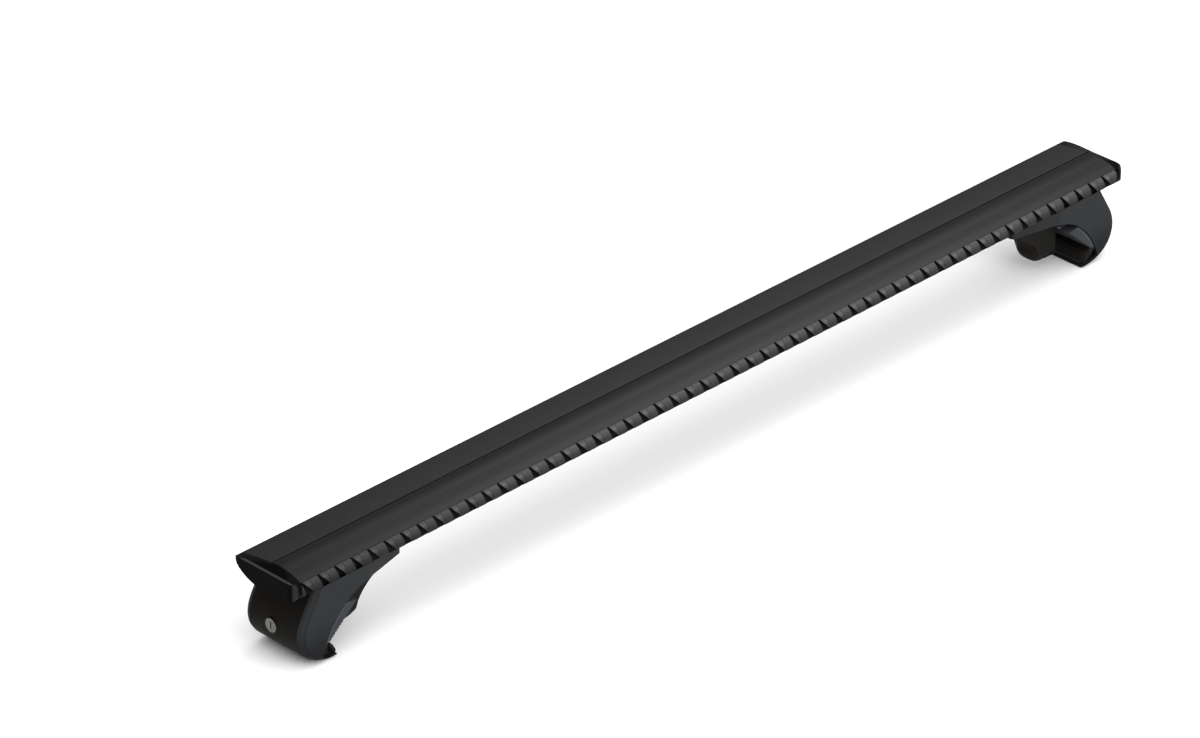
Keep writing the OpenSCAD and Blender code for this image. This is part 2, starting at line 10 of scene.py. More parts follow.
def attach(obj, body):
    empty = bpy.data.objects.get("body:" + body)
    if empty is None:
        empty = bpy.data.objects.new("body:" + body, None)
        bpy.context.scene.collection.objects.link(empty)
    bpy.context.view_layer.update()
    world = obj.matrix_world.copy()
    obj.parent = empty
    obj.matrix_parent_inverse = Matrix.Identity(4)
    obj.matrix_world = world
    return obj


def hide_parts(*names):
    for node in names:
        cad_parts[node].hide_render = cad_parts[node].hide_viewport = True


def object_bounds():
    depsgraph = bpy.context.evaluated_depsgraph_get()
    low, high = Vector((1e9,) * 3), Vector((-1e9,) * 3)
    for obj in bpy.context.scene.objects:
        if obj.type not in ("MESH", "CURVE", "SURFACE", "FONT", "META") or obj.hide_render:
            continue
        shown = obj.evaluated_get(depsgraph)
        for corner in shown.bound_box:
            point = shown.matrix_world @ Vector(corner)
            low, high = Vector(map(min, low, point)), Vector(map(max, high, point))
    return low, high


bl_info = {
    "name": "Aero Crossbar Studio",
    "version": (1, 0, 0),
    "blender": (4, 5, 0),
    "location": "View3D > Sidebar > Crossbar",
    "description": "Finishes a roof rack crossbar and sets it in a pale photo studio",
    "category": "Object",
}

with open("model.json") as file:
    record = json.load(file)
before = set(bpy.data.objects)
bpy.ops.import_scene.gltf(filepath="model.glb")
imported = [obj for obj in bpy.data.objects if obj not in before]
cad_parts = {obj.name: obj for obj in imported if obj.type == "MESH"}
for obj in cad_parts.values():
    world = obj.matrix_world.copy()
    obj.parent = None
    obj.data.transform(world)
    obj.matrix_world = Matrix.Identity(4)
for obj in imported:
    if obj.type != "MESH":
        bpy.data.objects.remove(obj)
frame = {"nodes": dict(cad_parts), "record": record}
CAD_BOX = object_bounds()
SIDES = ("left", "right")
MM = 0.001
BODY_OF = {n: body for body, members in frame["record"]["behaviour"]["bodies"].items() for n in members}
SLOT_OF = {part["node"]: part["material_slot"] for part in frame["record"]["subparts"]}

# Places on a foot, in millimetres: inboard from the bar's end, toward the tail, and above the lips
BAR_HALF = 600.0
NUT_PLACE = (74.0, 0.0, 69.0)
LOCK_PLACE = (8.5, 3.0, 37.5)
SCREW_SLOPE = math.radians(20)

# Painted shade of the bar's top against y in millimetres, from the nose to the tail, and the ramp's first y
# and span
TOP_PAINTED_SHADES = ((-34, 1.32), (-30, 1.02), (-24, 0.9), (-18, 1.08), (-12, 0.66), (-7, 0.32), (-3, 0.11),
              (-0.6, 0.07), (0.9, 0.07), (2.0, 0.6), (12, 0.5), (25, 0.4), (36, 0.34))
TOP_FIRST = -45.0
TOP_SPAN = 90.0

# What is taken for one point, no edge and one flat face in a copy of a CAD node, in metres and radians
SAME_POINT = 2e-6
NO_EDGE = 1e-6
ONE_FLAT = math.radians(0.3)

# Air between the lips and the studio's floor, in metres
FLOOR_GAP = 0.0002


def colour(name, description, value):
    return FloatVectorProperty(name=name, description=description, default=value, subtype="COLOR",
                               size=3, min=0.0, max=1.0)


def length(name, description, value):
    return FloatProperty(name=name, description=description, default=value, unit="LENGTH", precision=5)


class CrossbarStudio(bpy.types.PropertyGroup):
    target: FloatVectorProperty(name="Target", description="Point in the middle of the view",
                                default=(-0.0698, 0.0760, 0.0800), subtype="XYZ", unit="LENGTH")
    distance: length("Distance", "Camera's distance from the target", 6.798)
    azimuth: FloatProperty(name="Azimuth", description="Camera's turn about the vertical",
                           default=math.radians(-45), subtype="ANGLE")
    elevation: FloatProperty(name="Elevation", description="Camera's height angle",
                             default=math.radians(30), subtype="ANGLE")
    lens: FloatProperty(name="Lens", description="Focal length in millimetres", default=201.1, min=10,
                        unit="CAMERA")
    floor_size: length("Floor", "Width of the pale floor", 60.0)
    ambient: FloatProperty(name="Ambient", description="Strength of the room light", default=0.42, min=0)
    key_power: FloatProperty(name="Key", description="Power of the overhead softbox", default=262.0,
                             min=0, unit="POWER")
    side_power: FloatProperty(name="Side", description="Power of the softbox on the nose side",
                              default=84.0, min=0, unit="POWER")


class CrossbarFinish(bpy.types.PropertyGroup):
    anodised: colour("Anodised bar", "Black anodised aluminium", (0.0253, 0.0253, 0.0256))
    strip: colour("Wind strip", "Toothed rubber strip", (0.036, 0.036, 0.036))
    # The cap's colour is the one its painted highlights reach; elsewhere the cap takes a small share of it
    cap: colour("End cap", "Gloss black plastic, at its light edges", (0.030, 0.030, 0.031))
    sleeve: colour("Lock ring", "Black plastic round the lock", (0.0015, 0.0015, 0.0016))
    shell: colour("Foot", "Dark blue-grey plastic", (0.0188, 0.0199, 0.0216))
    cover: colour("Cover", "Warm black plastic", (0.0065, 0.0056, 0.0045))
    block: colour("Block", "Warm black plastic of the inner block", (0.0082, 0.0076, 0.0066))
    pad: colour("Pads", "Blue-grey rubber", (0.029, 0.032, 0.036))
    # The rim's light colour paints a highlight on the jaw pad's edge; the ceiling lugs take it too
    rim: colour("Pad rim", "Light bead of the jaw pad", (0.075, 0.078, 0.082))
    gasket: colour("Gasket", "Black rubber", (0.008, 0.008, 0.008))
    jaw: colour("Jaw", "Black coat on pressed steel", (0.019, 0.0175, 0.016))
    steel: colour("Steel", "Zinc plated steel", (0.52, 0.53, 0.55))
    lock: colour("Lock", "Satin plated lock face", (0.15, 0.15, 0.14))


class CrossbarSizes(bpy.types.PropertyGroup):
    plastic_edge: length("Plastic edge", "Round on the edges of moulded pieces", 0.0005)
    metal_edge: length("Metal edge", "Round on the edges of metal pieces", 0.00025)
    strip_edge: length("Strip edge", "Round on the edges of the teeth", 0.0003)
    thread_pitch: length("Thread pitch", "Pitch of the clamp screws", 0.00125)
    thread_depth: length("Thread depth", "Depth of the clamp screws' thread", 0.0003)
    boot_bulge: length("Knee boot", "Thickness of the skin over the knee's lower end", 0.0062)
    hook_bulge: length("Hook pad", "Rise of the pad on the hook of the jaw", 0.0018)
    smooth_angle: FloatProperty(name="Smooth angle", description="Edges below this angle shade smooth",
                                default=math.radians(32), subtype="ANGLE")


def settings():
    return bpy.context.scene.crossbar_studio


def finish():
    return bpy.context.scene.crossbar_finish


def sizes():
    return bpy.context.scene.crossbar_sizes


# Effects that several materials share

def math_node(tree, operation, a, b=None, clamp=False):
    node = tree.nodes.new("ShaderNodeMath")
    node.operation = operation
    node.use_clamp = clamp
    for socket, value in zip(node.inputs, (a, b)):
        if value is not None:
            connect(tree, value, socket)
    return node.outputs[0]


def connect(tree, value, socket):
    """Sets a socket to a number, or links it to another socket."""
    if isinstance(value, (int, float)):
        socket.default_value = value
    else:
        tree.links.new(value, socket)


class Effect:
    """A shader node group being built: named inputs, maths on them and on the place, and named outputs."""

    def __init__(self, name, inputs, outputs=("Shade",)):
        self.group = bpy.data.node_groups.new(name, "ShaderNodeTree")
        for label, value in inputs.items():
            socket = self.group.interface.new_socket(label, in_out="INPUT", socket_type="NodeSocketFloat")
            socket.default_value = value
        for label in outputs:
            self.group.interface.new_socket(label, in_out="OUTPUT", socket_type="NodeSocketFloat")
        self.inside = self.group.nodes.new("NodeGroupInput")
        self.out = self.group.nodes.new("NodeGroupOutput")

    def __getitem__(self, label):
        return self.inside.outputs[label]

    def give(self, label, value):
        self.group.links.new(value, self.out.inputs[label])

    def maths(self, operation, a, b=None, clamp=False):
        return math_node(self.group, operation, a, b, clamp)

    def add(self, a, b):
        return self.maths("ADD", a, b)

    def less(self, a, b):
        return self.maths("SUBTRACT", a, b)

    def times(self, a, b):
        return self.maths("MULTIPLY", a, b)

    def over(self, a, b):
        return self.maths("DIVIDE", a, b)

    def apart(self, a, b):
        """The distance between two values."""
        return self.maths("ABSOLUTE", self.less(a, b))

    def between(self, low, high, share):
        """The value at a share of the way from low to high."""
        return self.add(low, self.times(self.less(high, low), share))

    def step(self, value, edges):
        """A soft step of a value, from 0 at the first edge to 1 at the second."""
        node = self.group.nodes.new("ShaderNodeMapRange")
        node.interpolation_type = "SMOOTHSTEP"
        for label, entry in zip(("Value", "From Min", "From Max"), (value, *edges)):
            connect(self.group, entry, node.inputs[label])
        return node.outputs["Result"]

    def fade(self, value, edges):
        """A soft step of a value, from 1 at the first edge to 0 at the second."""
        return self.less(1.0, self.step(value, edges))

    def axes(self):
        """The place on the piece, as outputs X, Y and Z."""
        place = self.group.nodes.new("ShaderNodeTexCoord")
        split = self.group.nodes.new("ShaderNodeSeparateXYZ")
        self.group.links.new(place.outputs["Object"], split.inputs[0])
        return split.outputs

    def noise(self, scale, detail, roughness, stretch=(1.0, 1.0, 1.0)):
        place = self.group.nodes.new("ShaderNodeTexCoord")
        mapping = self.group.nodes.new("ShaderNodeMapping")
        mapping.inputs["Scale"].default_value = stretch
        self.group.links.new(place.outputs["Object"], mapping.inputs["Vector"])
        node = self.group.nodes.new("ShaderNodeTexNoise")
        node.inputs["Detail"].default_value = detail
        node.inputs["Roughness"].default_value = roughness
        self.group.links.new(mapping.outputs["Vector"], node.inputs["Vector"])
        self.group.links.new(scale, node.inputs["Scale"])
        return node.outputs["Fac"]

    def waver(self, noise, amount, middle, clamp=False):
        """A middle value that noise lifts and lowers."""
        change = self.times(self.less(noise, 0.5), amount)
        return self.maths("ADD", middle, change, clamp)


def grain_group():
    """Spark-eroded grain of moulded plastic: a height, and a slow change of shade."""
    effect = Effect("Moulded Grain", {"Scale": 1600.0, "Patchiness": 0.2, "Patch Scale": 45.0},
                    ("Height", "Shade"))
    effect.give("Height", effect.noise(effect["Scale"], detail=4.0, roughness=0.65))
    slow = effect.noise(effect["Patch Scale"], detail=3.0, roughness=0.55)
    effect.give("Shade", effect.waver(slow, effect["Patchiness"], 1.0))
    return effect.group


def draw_lines_group():
    """Fine lines that the die leaves along an extrusion."""
    effect = Effect("Extrusion Lines", {"Scale": 1.0, "Contrast": 0.1}, ("Height", "Shade"))
    lines = effect.noise(effect["Scale"], detail=3.0, roughness=0.6, stretch=(6.0, 900.0, 900.0))
    effect.give("Height", lines)
    effect.give("Shade", effect.waver(lines, effect["Contrast"], 1.0))
    return effect.group


def handling_group():
    """Faint smears that change the roughness of gloss and metal."""
    effect = Effect("Handling Marks", {"Roughness": 0.3, "Amount": 0.1, "Scale": 60.0}, ("Roughness",))
    smear = effect.noise(effect["Scale"], detail=4.0, roughness=0.6)
    effect.give("Roughness", effect.waver(smear, effect["Amount"], effect["Roughness"], clamp=True))
    return effect.group


def painted_notch_light_group():
    """Painted light of the wind strip: shadow in the wedge notches, highlights on the ramps, thin seams, a
    fall to the bottom.
    """
    effect = Effect("Painted Notch Light", {
        "Pitch": 0.0218, "Phase": 27.05, "Lean": 0.4452, "Top": 0.1024, "Start": 0.0027, "Spread": 0.464,
        "Ramp": 0.0112, "Highlight": 1.4, "Highlight Fall": 1.1, "Highlight Low": 0.3, "Seam": 0.4, "Upper": 1.75,
        "Lower": 0.55, "Left": 0.6, "Least": 0.03})
    wedge_edge = (-0.0003, 0.0006)
    highlight_start = (0.001, 0.004)
    highlight_end = (0.004, 0.009)
    seam_width = (0.0001, 0.0007)
    strip_height = (-0.002, 0.013)
    left_end = (0.2, 0.62)

    # How far below the strip's top, and how far along it past the last notch's leaning side
    axes = effect.axes()
    fall = effect.maths("MAXIMUM", effect.less(effect["Top"], axes["Z"]), 0.0)
    straight = effect.less(axes["X"], effect.times(fall, effect["Lean"]))
    count = effect.add(effect.over(straight, effect["Pitch"]), effect["Phase"])
    along = effect.times(effect.maths("FRACT", count), effect["Pitch"])

    # The notch widens downward under a painted shadow, and the ramp beyond it takes a painted highlight,
    # brightest beside it, and ends in a seam
    wedge = effect.add(effect.times(fall, effect["Spread"]), effect["Start"])
    past = effect.step(effect.less(along, wedge), wedge_edge)
    share = effect.over(along, effect["Ramp"])
    on_ramp = effect.maths("LESS_THAN", share, 1.0)
    near = effect.times(effect.step(fall, highlight_start),
                        effect.between(1.0, effect["Highlight Low"], effect.step(fall, highlight_end)))
    highlight = effect.less(effect["Highlight"], effect.times(share, effect["Highlight Fall"]))
    bright = effect.add(1.0, effect.times(effect.times(on_ramp, near), highlight))
    off_seam = effect.step(effect.apart(along, effect["Ramp"]), seam_width)
    lit = effect.times(effect.times(bright, past), effect.between(effect["Seam"], 1.0, off_seam))

    # Painted shade: darker toward the strip's bottom and toward the bar's left end
    down = effect.between(effect["Upper"], effect["Lower"], effect.step(fall, strip_height))
    to_left = effect.step(effect.times(axes["X"], -1.0), left_end)
    total = effect.times(effect.times(lit, down), effect.between(1.0, effect["Left"], to_left))
    effect.give("Shade", effect.add(total, effect["Least"]))
    return effect.group


def painted_top_shade_group():
    """Painted shade of the bar's top: dark before the crease, lighter toward the nose, and a fall to both
    ends.
    """
    effect = Effect("Painted Top Shade", {"Middle": 0.06, "Reach": 0.6, "Fall": 0.42, "Under": 0.4, "Top": 0.1})
    axes = effect.axes()
    ramp = effect.group.nodes.new("ShaderNodeValToRGB")
    across = effect.over(effect.less(axes["Y"], TOP_FIRST * MM), TOP_SPAN * MM)
    effect.group.links.new(across, ramp.inputs["Fac"])
    entries = ramp.color_ramp.elements
    for y, shade in TOP_PAINTED_SHADES[1:-1]:
        entries.new((y - TOP_FIRST) / TOP_SPAN)
    for entry, (y, shade) in zip(entries, TOP_PAINTED_SHADES):
        entry.position = (y - TOP_FIRST) / TOP_SPAN
        entry.color = (shade, shade, shade, 1.0)
    from_middle = effect.over(effect.apart(axes["X"], effect["Middle"]), effect["Reach"])
    fall = effect.times(effect.maths("POWER", from_middle, 2.0), effect["Fall"])
    lit = effect.times(ramp.outputs["Color"], effect.less(1.0, fall))
    # The sides and underside take a flat painted shade
    above = effect.maths("GREATER_THAN", axes["Z"], effect["Top"])
    effect.give("Shade", effect.between(effect["Under"], lit, above))
    return effect.group


def painted_height_shade_group():
    """Painted shade: darker toward the bottom, from full at a high level to its least at a low one."""
    effect = Effect("Painted Height Shade", {"Low": 0.012, "High": 0.055, "Least": 0.5})
    rise = effect.step(effect.axes()["Z"], (effect["Low"], effect["High"]))
    effect.give("Shade", effect.between(effect["Least"], 1.0, rise))
    return effect.group


def painted_cap_highlight_group():
    """Painted highlights of the end caps: a thin light line along the face's top edge, and a glint down the
    nose.
    """
    effect = Effect("Painted Cap Highlights", {"Face": 0.6, "Edge": 0.1046, "Nose": -0.0405, "Dark": 0.06, "Line": 1.3,
                                  "Glint": 0.7})
    line_width = (0.0004, 0.0014)
    line_depth = (0.0008, 0.0022)
    glint_width = (0.0008, 0.0045)
    glint_depth = (0.0025, 0.0075)
    axes = effect.axes()
    inward = effect.less(effect["Face"], effect.maths("ABSOLUTE", axes["X"]))
    line = effect.times(effect.fade(effect.apart(axes["Z"], effect["Edge"]), line_width),
                        effect.fade(inward, line_depth))
    glint = effect.times(effect.fade(effect.apart(axes["Y"], effect["Nose"]), glint_width),
                         effect.fade(inward, glint_depth))
    total = effect.add(effect.times(line, effect["Line"]), effect.times(glint, effect["Glint"]))
    effect.give("Shade", effect.add(total, effect["Dark"]))
    return effect.group


def painted_fillet_light_group():
    """Painted light on the shell's long rounds: a painted highlight band, and a thin painted dark line where
    the side begins.
    """
    effect = Effect("Painted Fillet Light", {"Side": 0.0398, "Light": 0.12, "Dark": 0.25})
    band_start = (0.0335, 0.0375)
    band_end = (0.0385, 0.0396)
    line_width = (0.0001, 0.0005)
    outboard_of = (0.518, 0.532)
    axes = effect.axes()
    reach = effect.maths("ABSOLUTE", axes["Y"])
    band = effect.times(effect.step(reach, band_start), effect.fade(reach, band_end))
    line = effect.fade(effect.apart(reach, effect["Side"]), line_width)
    change = effect.less(effect.times(band, effect["Light"]), effect.times(line, effect["Dark"]))
    outboard = effect.step(effect.maths("ABSOLUTE", axes["X"]), outboard_of)
    effect.give("Shade", effect.add(effect.times(change, outboard), 1.0))
    return effect.group


class Paint:
    """One material being built, with a Principled shader and helpers that place the shared effects."""

    def __init__(self, name, base, roughness, metallic=0.0, specular=0.5):
        self.material = bpy.data.materials.new(name)
        self.material.use_nodes = True
        self.tree = self.material.node_tree
        self.shader = self.tree.nodes["Principled BSDF"]
        self.shader.inputs["Base Color"].default_value = (*base, 1.0)
        self.shader.inputs["Roughness"].default_value = roughness
        self.shader.inputs["Metallic"].default_value = metallic
        self.shader.inputs["Specular IOR Level"].default_value = specular
        self.material.diffuse_color = (*base, 1.0)
        self.base = base
        self.shades = []

    def effect(self, group, **values):
        node = self.tree.nodes.new("ShaderNodeGroup")
        node.node_tree = group
        for label, value in values.items():
            node.inputs[label].default_value = value
        return node

    def shade(self, group):
        self.shades.append(self.effect(group).outputs["Shade"])

    def surface(self, group, depth, strength, **values):
        """Places an effect that gives a height and a shade."""
        node = self.effect(group, **values)
        self.shades.append(node.outputs["Shade"])
        bump = self.tree.nodes.new("ShaderNodeBump")
        bump.inputs["Distance"].default_value = depth
        bump.inputs["Strength"].default_value = strength
        self.tree.links.new(node.outputs["Height"], bump.inputs["Height"])
        self.tree.links.new(bump.outputs["Normal"], self.shader.inputs["Normal"])

    def wear(self, group, **values):
        """Places an effect that gives a roughness."""
        node = self.effect(group, **values)
        self.tree.links.new(node.outputs["Roughness"], self.shader.inputs["Roughness"])

    def done(self):
        if self.shades:
            total = self.shades[0]
            for shade in self.shades[1:]:
                total = math_node(self.tree, "MULTIPLY", total, shade)
            mix = self.tree.nodes.new("ShaderNodeVectorMath")
            mix.operation = "SCALE"
            mix.inputs[0].default_value = self.base
            self.tree.links.new(total, mix.inputs["Scale"])
            self.tree.links.new(mix.outputs["Vector"], self.shader.inputs["Base Color"])
        return self.material


def make_materials():
    looks = finish()
    grain = grain_group()
    lines = draw_lines_group()
    marks = handling_group()
    top = painted_top_shade_group()
    height = painted_height_shade_group()
    notch_painted_light = painted_notch_light_group()
    cap_painted_highlights = painted_cap_highlight_group()
    fillet = painted_fillet_light_group()

    def moulded(name, base, roughness, specular, depth=0.00004, patch=0.25, scale=1600.0, shades=()):
        paint = Paint(name, base, roughness, specular=specular)
        for group in shades:
            paint.shade(group)
        paint.surface(grain, depth, strength=0.6, Scale=scale, Patchiness=patch)
        paint.wear(marks, Roughness=roughness, Amount=0.12)
        return paint.done()

    def drawn(name, base, roughness, metallic, specular, contrast=0.12, shades=()):
        paint = Paint(name, base, roughness, metallic, specular)
        for group in shades:
            paint.shade(group)
        paint.surface(lines, depth=0.000012, strength=0.5, Scale=1.0, Contrast=contrast)
        paint.wear(marks, Roughness=roughness, Amount=0.08)
        return paint.done()

    return {
        # The bar's colour takes the painted shade of its top
        "bar": drawn("Anodised Aluminium", looks.anodised, 0.42, metallic=0.0, specular=0.04, shades=(top,)),
        # The strip's colour takes painted shadow in its notches and painted highlights on its ramps
        "strip": moulded("Strip Rubber", looks.strip, 0.62, 0.04, depth=0.00003, patch=0.3, scale=1200.0,
                         shades=(notch_painted_light,)),
        # The cap's colour takes a painted highlight line and a painted glint
        "cap": moulded("Gloss Cap Plastic", looks.cap, 0.14, 0.012, depth=0.000004, patch=0.1, scale=500.0,
                       shades=(cap_painted_highlights,)),
        # The shell's colour takes painted shade toward its bottom, and painted light and shade on its long
        # rounds
        "shell": moulded("Foot Plastic", looks.shell, 0.55, 0.04, shades=(height, fillet)),
        "cover": moulded("Cover Plastic", looks.cover, 0.48, 0.03),
        "block": moulded("Block Plastic", looks.block, 0.55, 0.04),
        "gasket": moulded("Gasket Rubber", looks.gasket, 0.75, 0.06),
        "rim": moulded("Rim Rubber", looks.rim, 0.6, 0.1, depth=0.00003, patch=0.2, scale=900.0),
        "pad": moulded("Pad Rubber", looks.pad, 0.7, 0.08, depth=0.00006, patch=0.35, scale=900.0),
        "jaw": moulded("Coated Steel", looks.jaw, 0.4, 0.1, depth=0.00002, patch=0.2, scale=1200.0),
        "steel": drawn("Plated Steel", looks.steel, 0.34, metallic=1.0, specular=0.5),
        "lock": drawn("Lock Face", looks.lock, 0.5, metallic=0.7, specular=0.3, contrast=0.05),
        "sleeve": moulded("Lock Ring", looks.sleeve, 0.35, 0.08, depth=0.00001, patch=0.1, scale=900.0),
    }


def material_for(look):
    return bpy.data.materials[bpy.context.scene["crossbar_materials"][look]]


# Meshes. The numbers of the pieces added to the feet are in millimetres, u inboard and z up

def add_piece(name, bm, body, slot, smooth=True, look=None):
    """Makes a mesh a piece that rides on a body, with its slot's material or the one that look names."""
    mesh = bpy.data.meshes.new(name)
    for face in bm.faces:
        face.smooth = smooth
    bm.to_mesh(mesh)
    bm.free()
    piece = bpy.data.objects.new(name, mesh)
    bpy.context.scene.collection.objects.link(piece)
    mesh.materials.append(material_for(look or slot))
    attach(piece, body)
    return piece


def add_closed_piece(name, bm, body, slot, smooth=True, look=None):
    """Makes a closed mesh a piece, with its faces outwards."""
    bmesh.ops.recalc_face_normals(bm, faces=bm.faces)
    if bm.calc_volume(signed=True) < 0:
        bmesh.ops.reverse_faces(bm, faces=bm.faces)
    return add_piece(name, bm, body, slot, smooth, look)


def ease_edges(piece, width, angle):
    if width > 0:
        bevel = piece.modifiers.new("Eased edges", "BEVEL")
        bevel.width = width
        bevel.segments = 2
        bevel.limit_method = "ANGLE"
        bevel.angle_limit = angle
        bevel.use_clamp_overlap = True
        bevel.harden_normals = False
    weighted = piece.modifiers.new("Even shading", "WEIGHTED_NORMAL")
    weighted.keep_sharp = True
    weighted.weight = 50


def dressed_copy(node, ease):
    """A merged, smooth-shaded copy of a CAD node, with its edges eased, that stands for the node."""
    angle = sizes().smooth_angle
    bm = bmesh.new()
    bm.from_mesh(frame["nodes"][node].data)
    bmesh.ops.remove_doubles(bm, verts=bm.verts, dist=SAME_POINT)
    bmesh.ops.dissolve_degenerate(bm, edges=bm.edges, dist=NO_EDGE)
    bmesh.ops.dissolve_limit(bm, angle_limit=ONE_FLAT, verts=bm.verts, edges=bm.edges,
                             use_dissolve_boundaries=False)
    for edge in bm.edges:
        if len(edge.link_faces) == 2:
            edge.smooth = edge.calc_face_angle(0.0) < angle
    piece = add_piece("dressed_" + node, bm, BODY_OF[node], SLOT_OF[node])
    ease_edges(piece, ease, angle)
    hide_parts(node)


def outward(side):
    """The sense of X that points from the middle of the bar to a side."""
    return 1.0 if side == "right" else -1.0


def foot_point(side, u, y, z):
    """A point of a foot, u millimetres inboard from the end of the bar."""
    return Vector((outward(side) * (BAR_HALF - u), y, z)) * MM


def curve_points(corners, count):
    """Points of a cubic curve in u and z."""
    points = []
    for i in range(count + 1):
        t = i / count
        weights = ((1 - t) ** 3, 3 * (1 - t) ** 2 * t, 3 * (1 - t) * t * t, t ** 3)
        points.append(tuple(sum(w * c[k] for w, c in zip(weights, corners)) for k in (0, 1)))
    return points


def moved_verts(geometry):
    """The vertices in the result of an extrusion."""
    return [part for part in geometry if isinstance(part, bmesh.types.BMVert)]


def closed_skin(side, outer, inner, name, body, slot):
    """A closed skin from two grids of points in u, y and z, the outer and the inner one."""
    bm = bmesh.new()
    place = bm.verts.layers.int.new("place")
    bmesh.ops.create_grid(bm, x_segments=len(outer[0]) - 1, y_segments=len(outer) - 1, size=1.0)
    for i, vert in enumerate(bm.verts):
        vert[place] = i
    outer_verts = list(bm.verts)
    drawn = bmesh.ops.extrude_face_region(bm, geom=bm.faces[:], use_keep_orig=True)["geom"]
    for verts, grid in ((outer_verts, outer), (moved_verts(drawn), inner)):
        points = [point for row in grid for point in row]
        for vert in verts:
            vert.co = foot_point(side, *points[vert[place]])
    piece = add_closed_piece(f"{side}_{name}", bm, body, slot)
    ease_edges(piece, 0.0, sizes().smooth_angle)


def knee_boot(side):
    """Rounded skin over the lower and inboard end of the knee, thickest along its middle."""
    under = curve_points(((84, 17.4), (97, 16.6), (103.5, 20), (104.4, 30)), 14)
    inboard = curve_points(((104.4, 30), (107, 38), (112, 46), (121, 52)), 10)
    half, bulge, columns = 16.4, sizes().boot_bulge / MM, 24
    first_share, tail_off = 0.16, 2.2
    crown, edge_dip, edge_crown = 3.2, 1.2, 6
    corner, corner_start, bottom = 9.0, 7.5, 17.0
    inner_depth, inner_width = 1.5, 0.94
    spine = under + inboard[1:]
    last = len(spine) - 1
    outer, inner = [], []
    for i, (u, z) in enumerate(spine):
        before, after = spine[max(i - 1, 0)], spine[min(i + 1, last)]
        run, rise = after[0] - before[0], after[1] - before[1]
        size = math.hypot(run, rise)
        out_u, out_z = rise / size, -run / size
        swell = math.sin(math.pi * min(0.5, first_share + i / last))
        thick = bulge * swell * min(1.0, tail_off * (1 - i / last))
        outer_row, inner_row = [], []
        for j in range(columns + 1):
            share = -1 + 2 * j / columns
            depth = thick * (1 - abs(share) ** crown) - edge_dip * abs(share) ** edge_crown
            into_corner = max(0.0, (abs(share) * half - corner_start) / corner)
            round_off = corner * (1 - math.sqrt(max(0.0, 1 - into_corner ** 2)))
            lift = round_off * max(0.0, 1 - (z - bottom) / corner)
            outer_row.append((u + out_u * depth, share * half, z + out_z * depth + lift))
            inner_row.append((u - out_u * inner_depth, share * half * inner_width,
                              z - out_z * inner_depth + lift))
        outer.append(outer_row)
        inner.append(inner_row)
    closed_skin(side, outer, inner, "knee_boot", side + "_foot", "block")


def hook_pad(side):
    """Rubber on the slope of the jaw's hook, rounded over the lip."""
    top, foot, half, depth = (48.3, 18.4), (55.8, 6.2), 37.6, 3.4
    fullness, edge_loss, edge_crown = 0.6, 0.5, 8
    rows, columns = 12, 8
    run, fall = foot[0] - top[0], foot[1] - top[1]
    size = math.hypot(run, fall)
    out_u, out_z = -fall / size, run / size
    outer, inner = [], []
    for i in range(rows + 1):
        down = i / rows
        u, z = top[0] + run * down, top[1] + fall * down
        rise = sizes().hook_bulge / MM * math.sin(math.pi * down) ** fullness
        outer_row, inner_row = [], []
        for j in range(columns + 1):
            share = -1 + 2 * j / columns
            height = rise * (1 - edge_loss * abs(share) ** edge_crown)
            outer_row.append((u + out_u * height, share * half, z + out_z * height))
            inner_row.append((u - out_u * depth, share * half, z - out_z * depth))
        outer.append(outer_row)
        inner.append(inner_row)
    closed_skin(side, outer, inner, "hook_pad", side + "_jaw", "block")


def pad_rim(side):
    """Light bead along the edge of the jaw pad, at the front and the back: a painted highlight on the pad's
    edge.

    It follows a stretch of the shell's mouth curve, a little below it.
    """
    mouth = ((112, 70), (84, 73), (49, 50), (36, 10))
    drop, reach, thick, facets = 1.7, 39.6, 0.5, 8
    line = curve_points(mouth, 50)[24:46]
    for sign, place in ((-1, "front"), (1, "back")):
        points = [foot_point(side, u + drop, sign * reach, z - drop) for u, z in line]
        bm = bmesh.new()
        bmesh.ops.create_circle(bm, cap_ends=True, segments=facets, radius=thick * MM,
                                matrix=Matrix.Translation(points[0]))
        tip = bm.verts[:] + bm.edges[:] + bm.faces[:]
        for start, end in zip(points, points[1:]):
            tip = bmesh.ops.extrude_face_region(bm, geom=tip)["geom"]
            bmesh.ops.translate(bm, vec=end - start, verts=moved_verts(tip))
        add_closed_piece(f"{side}_pad_rim_{place}", bm, side + "_jaw", "pad", look="rim")


def ceiling_lug(side):
    """Small rounded lug of the rubber under the ceiling of the mouth, one in front and one behind."""
    inboard, reach, height = 87.0, 31.0, 61.2
    radii = (5.5 * MM, 2.5 * MM, 2.6 * MM, 1.0)
    for sign, place in ((-1, "front"), (1, "back")):
        bm = bmesh.new()
        middle = Matrix.Translation(foot_point(side, inboard, sign * reach, height))
        bmesh.ops.create_uvsphere(bm, u_segments=24, v_segments=12, radius=1.0,
                                  matrix=middle @ Matrix.Diagonal(radii))
        add_piece(f"{side}_ceiling_lug_{place}", bm, side + "_foot", "gasket", look="rim")


